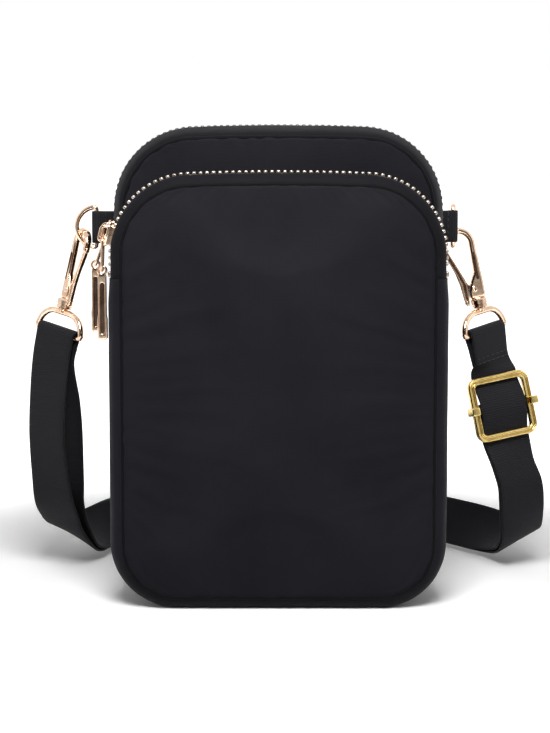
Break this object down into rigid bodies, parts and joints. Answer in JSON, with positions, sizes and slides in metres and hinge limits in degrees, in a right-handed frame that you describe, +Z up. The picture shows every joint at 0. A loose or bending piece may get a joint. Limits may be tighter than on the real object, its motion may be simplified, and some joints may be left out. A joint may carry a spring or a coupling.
{
  "type": "phone pouch",
  "caption": "Small upright two-compartment zipped phone pouch with side rings, snap hooks and an adjustable webbing shoulder strap looped behind it.",
  "frame": {"origin": "on the surface the pouch stands on, midway between its sides, under the middle of the main compartment", "axes": "+X to the right as seen from the front, +Y to the back, +Z up"},
  "size_m": [0.218, 0.1705, 0.1902],
  "materials": {
    "shell_fabric": "matt woven, slightly soft sheen",
    "lining": "matt",
    "padding": "matt foam",
    "zip_tape": "matt woven",
    "zip_metal": "polished pale gold",
    "webbing": "ribbed webbing",
    "adjuster_metal": "polished yellow gold",
    "hardware_metal": "polished pale rose gold"
  },
  "bodies": {
    "pouch": {"front_panel_skin": "shell_fabric", "front_panel_padding": "padding", "front_panel_lining": "lining", "middle_panel_skin": "shell_fabric", "middle_panel_padding": "padding", "middle_panel_lining": "lining", "back_panel_skin": "shell_fabric", "back_panel_padding": "padding", "back_panel_lining": "lining", "front_gusset_lower": "shell_fabric", "front_zip_strip_fore": "shell_fabric", "front_zip_strip_aft": "shell_fabric", "main_gusset_lower": "shell_fabric", "main_zip_strip_fore": "shell_fabric", "main_zip_strip_aft": "shell_fabric", "front_seam_binding": "shell_fabric", "middle_seam_binding": "shell_fabric", "back_seam_binding": "shell_fabric", "front_zip_tape_fore": "zip_tape", "front_zip_tape_aft": "zip_tape", "main_zip_tape_fore": "zip_tape", "main_zip_tape_aft": "zip_tape", "front_zip_teeth_fore": "zip_metal", "front_zip_teeth_aft": "zip_metal", "main_zip_teeth_fore": "zip_metal", "main_zip_teeth_aft": "zip_metal", "front_zip_stops": "zip_metal", "main_zip_stops": "zip_metal", "left_tab": "webbing", "right_tab": "webbing", "left_swivel_ring": "hardware_metal", "right_swivel_ring": "hardware_metal", "strap_webbing": "webbing"},
    "left_ring": {"left_side_ring": "hardware_metal"},
    "right_ring": {"right_side_ring": "hardware_metal"},
    "left_snap_hook": {"left_hook": "hardware_metal", "left_gate_rivet": "hardware_metal"},
    "left_snap_gate": {"left_gate": "hardware_metal"},
    "right_snap_hook": {"right_hook": "hardware_metal", "right_gate_rivet": "hardware_metal"},
    "right_snap_gate": {"right_gate": "hardware_metal"},
    "front_slider": {"front_zip_slider": "hardware_metal"},
    "front_link": {"front_pull_link": "hardware_metal"},
    "front_pull": {"front_pull_bar": "hardware_metal"},
    "main_slider": {"main_zip_slider": "hardware_metal"},
    "main_link": {"main_pull_link": "hardware_metal"},
    "main_pull": {"main_pull_bar": "hardware_metal"},
    "adjuster": {"adjuster_frame": "adjuster_metal"},
    "adjuster_cross_bar": {"adjuster_bar": "adjuster_metal"}
  },
  "joints": [
    {"name": "left_ring_swing", "type": "hinge", "parent": "pouch", "child": "left_ring", "pos_m": [-0.074, 0.01655, 0.1478], "axis": [0, 0, 1], "range_deg": [-1.5, 2]},
    {"name": "right_ring_swing", "type": "hinge", "parent": "pouch", "child": "right_ring", "pos_m": [0.07183, 0.02343, 0.1478], "axis": [0, 0, 1], "range_deg": [-4, 4]},
    {"name": "left_hook_swivel", "type": "hinge", "parent": "pouch", "child": "left_snap_hook", "pos_m": [-0.08843, 0.02132, 0.114], "axis": [0.2233, 0, 0.9748], "range_deg": [-2, 2]},
    {"name": "right_hook_swivel", "type": "hinge", "parent": "pouch", "child": "right_snap_hook", "pos_m": [0.08394, 0.02795, 0.11376], "axis": [-0.2079, 0, 0.9781], "range_deg": [-2, 8]},
    {"name": "left_gate_opening", "type": "hinge", "parent": "left_snap_hook", "child": "left_snap_gate", "pos_m": [-0.08617, 0.02043, 0.1218], "axis": [-0.8607, -0.4695, 0.1971], "range_deg": [0, 20], "stiffness_Nm_per_rad": 0.02, "springref_deg": -9.74},
    {"name": "right_gate_opening", "type": "hinge", "parent": "right_snap_hook", "child": "right_snap_gate", "pos_m": [0.08128, 0.02795, 0.12147], "axis": [0, 1, 0], "range_deg": [0, 20], "stiffness_Nm_per_rad": 0.02, "springref_deg": -9.74},
    {"name": "front_zip_travel", "type": "hinge", "parent": "pouch", "child": "front_slider", "pos_m": [-0.0338, -0.0245, 0.13914], "axis": [0, 1, 0], "range_deg": [0, 64]},
    {"name": "front_link_swing", "type": "hinge", "parent": "front_slider", "child": "front_link", "pos_m": [-0.06809, -0.0245, 0.14604], "axis": [0, 1, 0], "range_deg": [0, 100]},
    {"name": "front_pull_swing", "type": "hinge", "parent": "front_link", "child": "front_pull", "pos_m": [-0.06854, -0.0245, 0.13305], "axis": [0, 1, 0], "range_deg": [0, 90]},
    {"name": "main_zip_travel", "type": "slide", "parent": "pouch", "child": "main_slider", "axis": [0, 0, 1], "range_m": [-0.0085, 0.0038]},
    {"name": "main_link_swing", "type": "hinge", "parent": "main_slider", "child": "main_link", "pos_m": [-0.06875, 0, 0.1457], "axis": [0, 1, 0], "range_deg": [0, 94]},
    {"name": "main_pull_swing", "type": "hinge", "parent": "main_link", "child": "main_pull", "pos_m": [-0.0732, 0, 0.13348], "axis": [0, 1, 0], "range_deg": [0, 90]},
    {"name": "adjuster_slide", "type": "slide", "parent": "pouch", "child": "adjuster", "axis": [-0.2005, 0.1203, 0.9723], "range_m": [-0.004, 0.003], "deforming": ["strap_webbing"]},
    {"name": "adjuster_bar_slide", "type": "slide", "parent": "adjuster", "child": "adjuster_cross_bar", "axis": [-0.2005, 0.1203, 0.9723], "range_m": [-0.003, 0.003], "deforming": ["strap_webbing"]}
  ]
}
